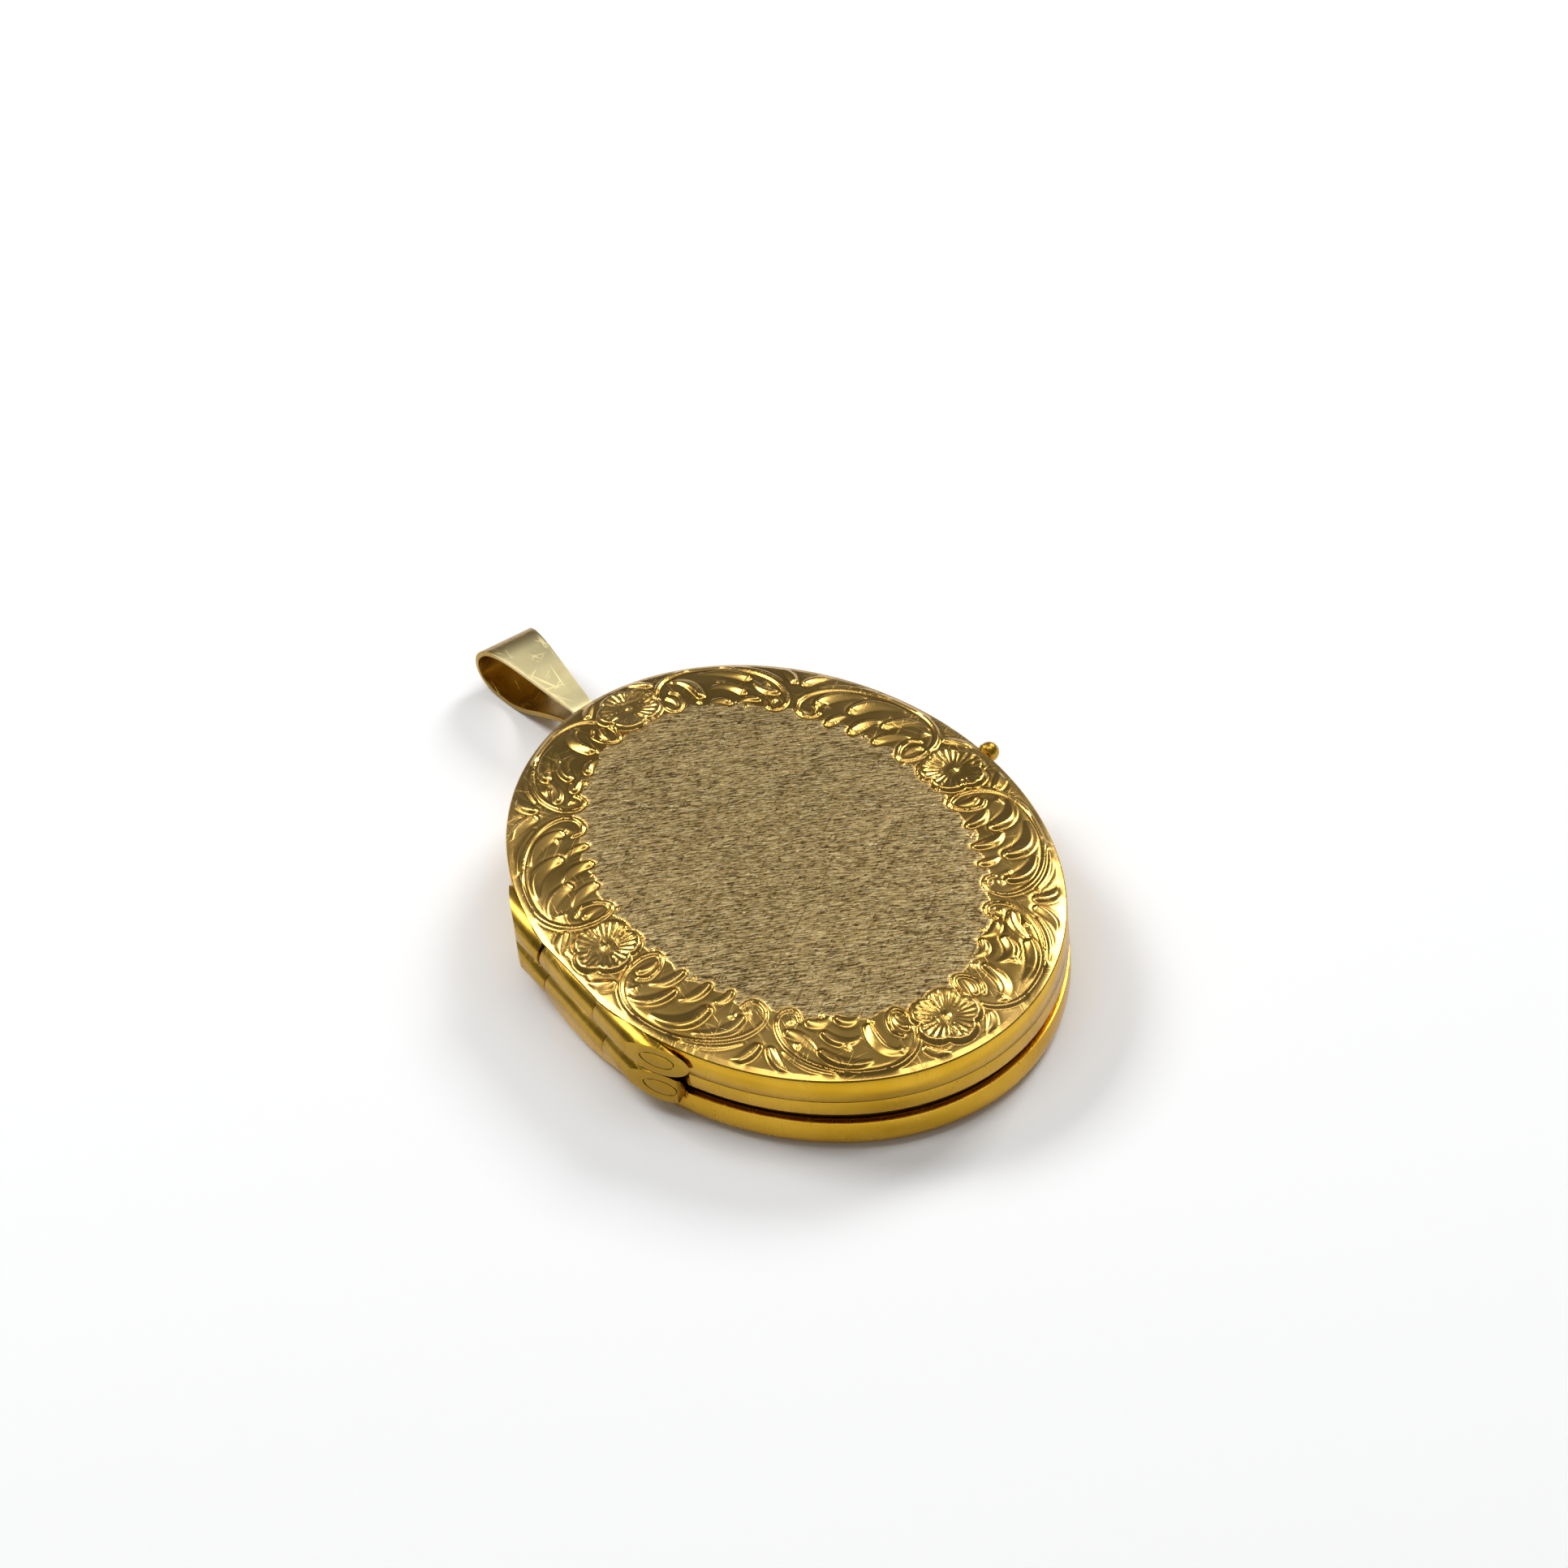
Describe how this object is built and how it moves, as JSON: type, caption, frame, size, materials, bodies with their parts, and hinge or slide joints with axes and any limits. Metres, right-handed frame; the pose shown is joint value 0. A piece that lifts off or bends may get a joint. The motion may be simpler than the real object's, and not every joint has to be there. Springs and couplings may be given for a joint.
{
  "type": "locket",
  "caption": "Oval hinged pendant case: two engraved-style covers on a double-sided middle frame, windowed picture seats and a folded strip bail.",
  "frame": {"origin": "middle of the back cover's flat outer face", "axes": "+X to the opening side, +Y to the bail, +Z out of the engraved front; the part lies on its back"},
  "size_m": [0.0288, 0.0466, 0.006],
  "materials": {
    "gold": "polished yellow gold with engraved border and brushed centre",
    "inner_gold": "polished yellow gold, little worn",
    "clear_window": "clear acetate sheet",
    "picture_card": "plain card"
  },
  "bodies": {
    "middle": {"middle_frame": "gold", "middle_front_lip": "inner_gold", "middle_back_lip": "inner_gold", "front_catch_snib": "inner_gold", "back_catch_snib": "inner_gold", "middle_front_knuckle": "gold", "middle_back_knuckle": "gold", "front_hinge_pin": "inner_gold", "back_hinge_pin": "inner_gold", "middle_front_picture_card": "picture_card", "middle_front_picture_window": "clear_window", "middle_front_picture_rim": "inner_gold", "middle_back_picture_card": "picture_card", "middle_back_picture_window": "clear_window", "middle_back_picture_rim": "inner_gold", "bail_ring": "gold"},
    "front": {"front_cover": "gold", "front_picture_card": "picture_card", "front_picture_window": "clear_window", "front_picture_rim": "inner_gold", "front_knuckle_upper": "gold", "front_knuckle_lower": "gold", "front_thumb_bead": "gold"},
    "back": {"back_cover": "gold", "back_picture_card": "picture_card", "back_picture_window": "clear_window", "back_picture_rim": "inner_gold", "back_knuckle_upper": "gold", "back_knuckle_lower": "gold"},
    "bail": {"bail": "gold"}
  },
  "joints": [
    {"name": "front_hinge", "type": "hinge", "parent": "middle", "child": "front", "pos_m": [-0.013, 0, 0.00398], "axis": [0, -1, 0], "range_deg": [0, 110]},
    {"name": "back_hinge", "type": "hinge", "parent": "middle", "child": "back", "pos_m": [-0.013, 0, 0.00202], "axis": [0, 1, 0], "range_deg": [0, 100]},
    {"name": "bail_swing", "type": "hinge", "parent": "middle", "child": "bail", "pos_m": [-0.00095, 0.0196, 0.00293], "axis": [1, 0, 0], "range_deg": [-80, 105]}
  ]
}
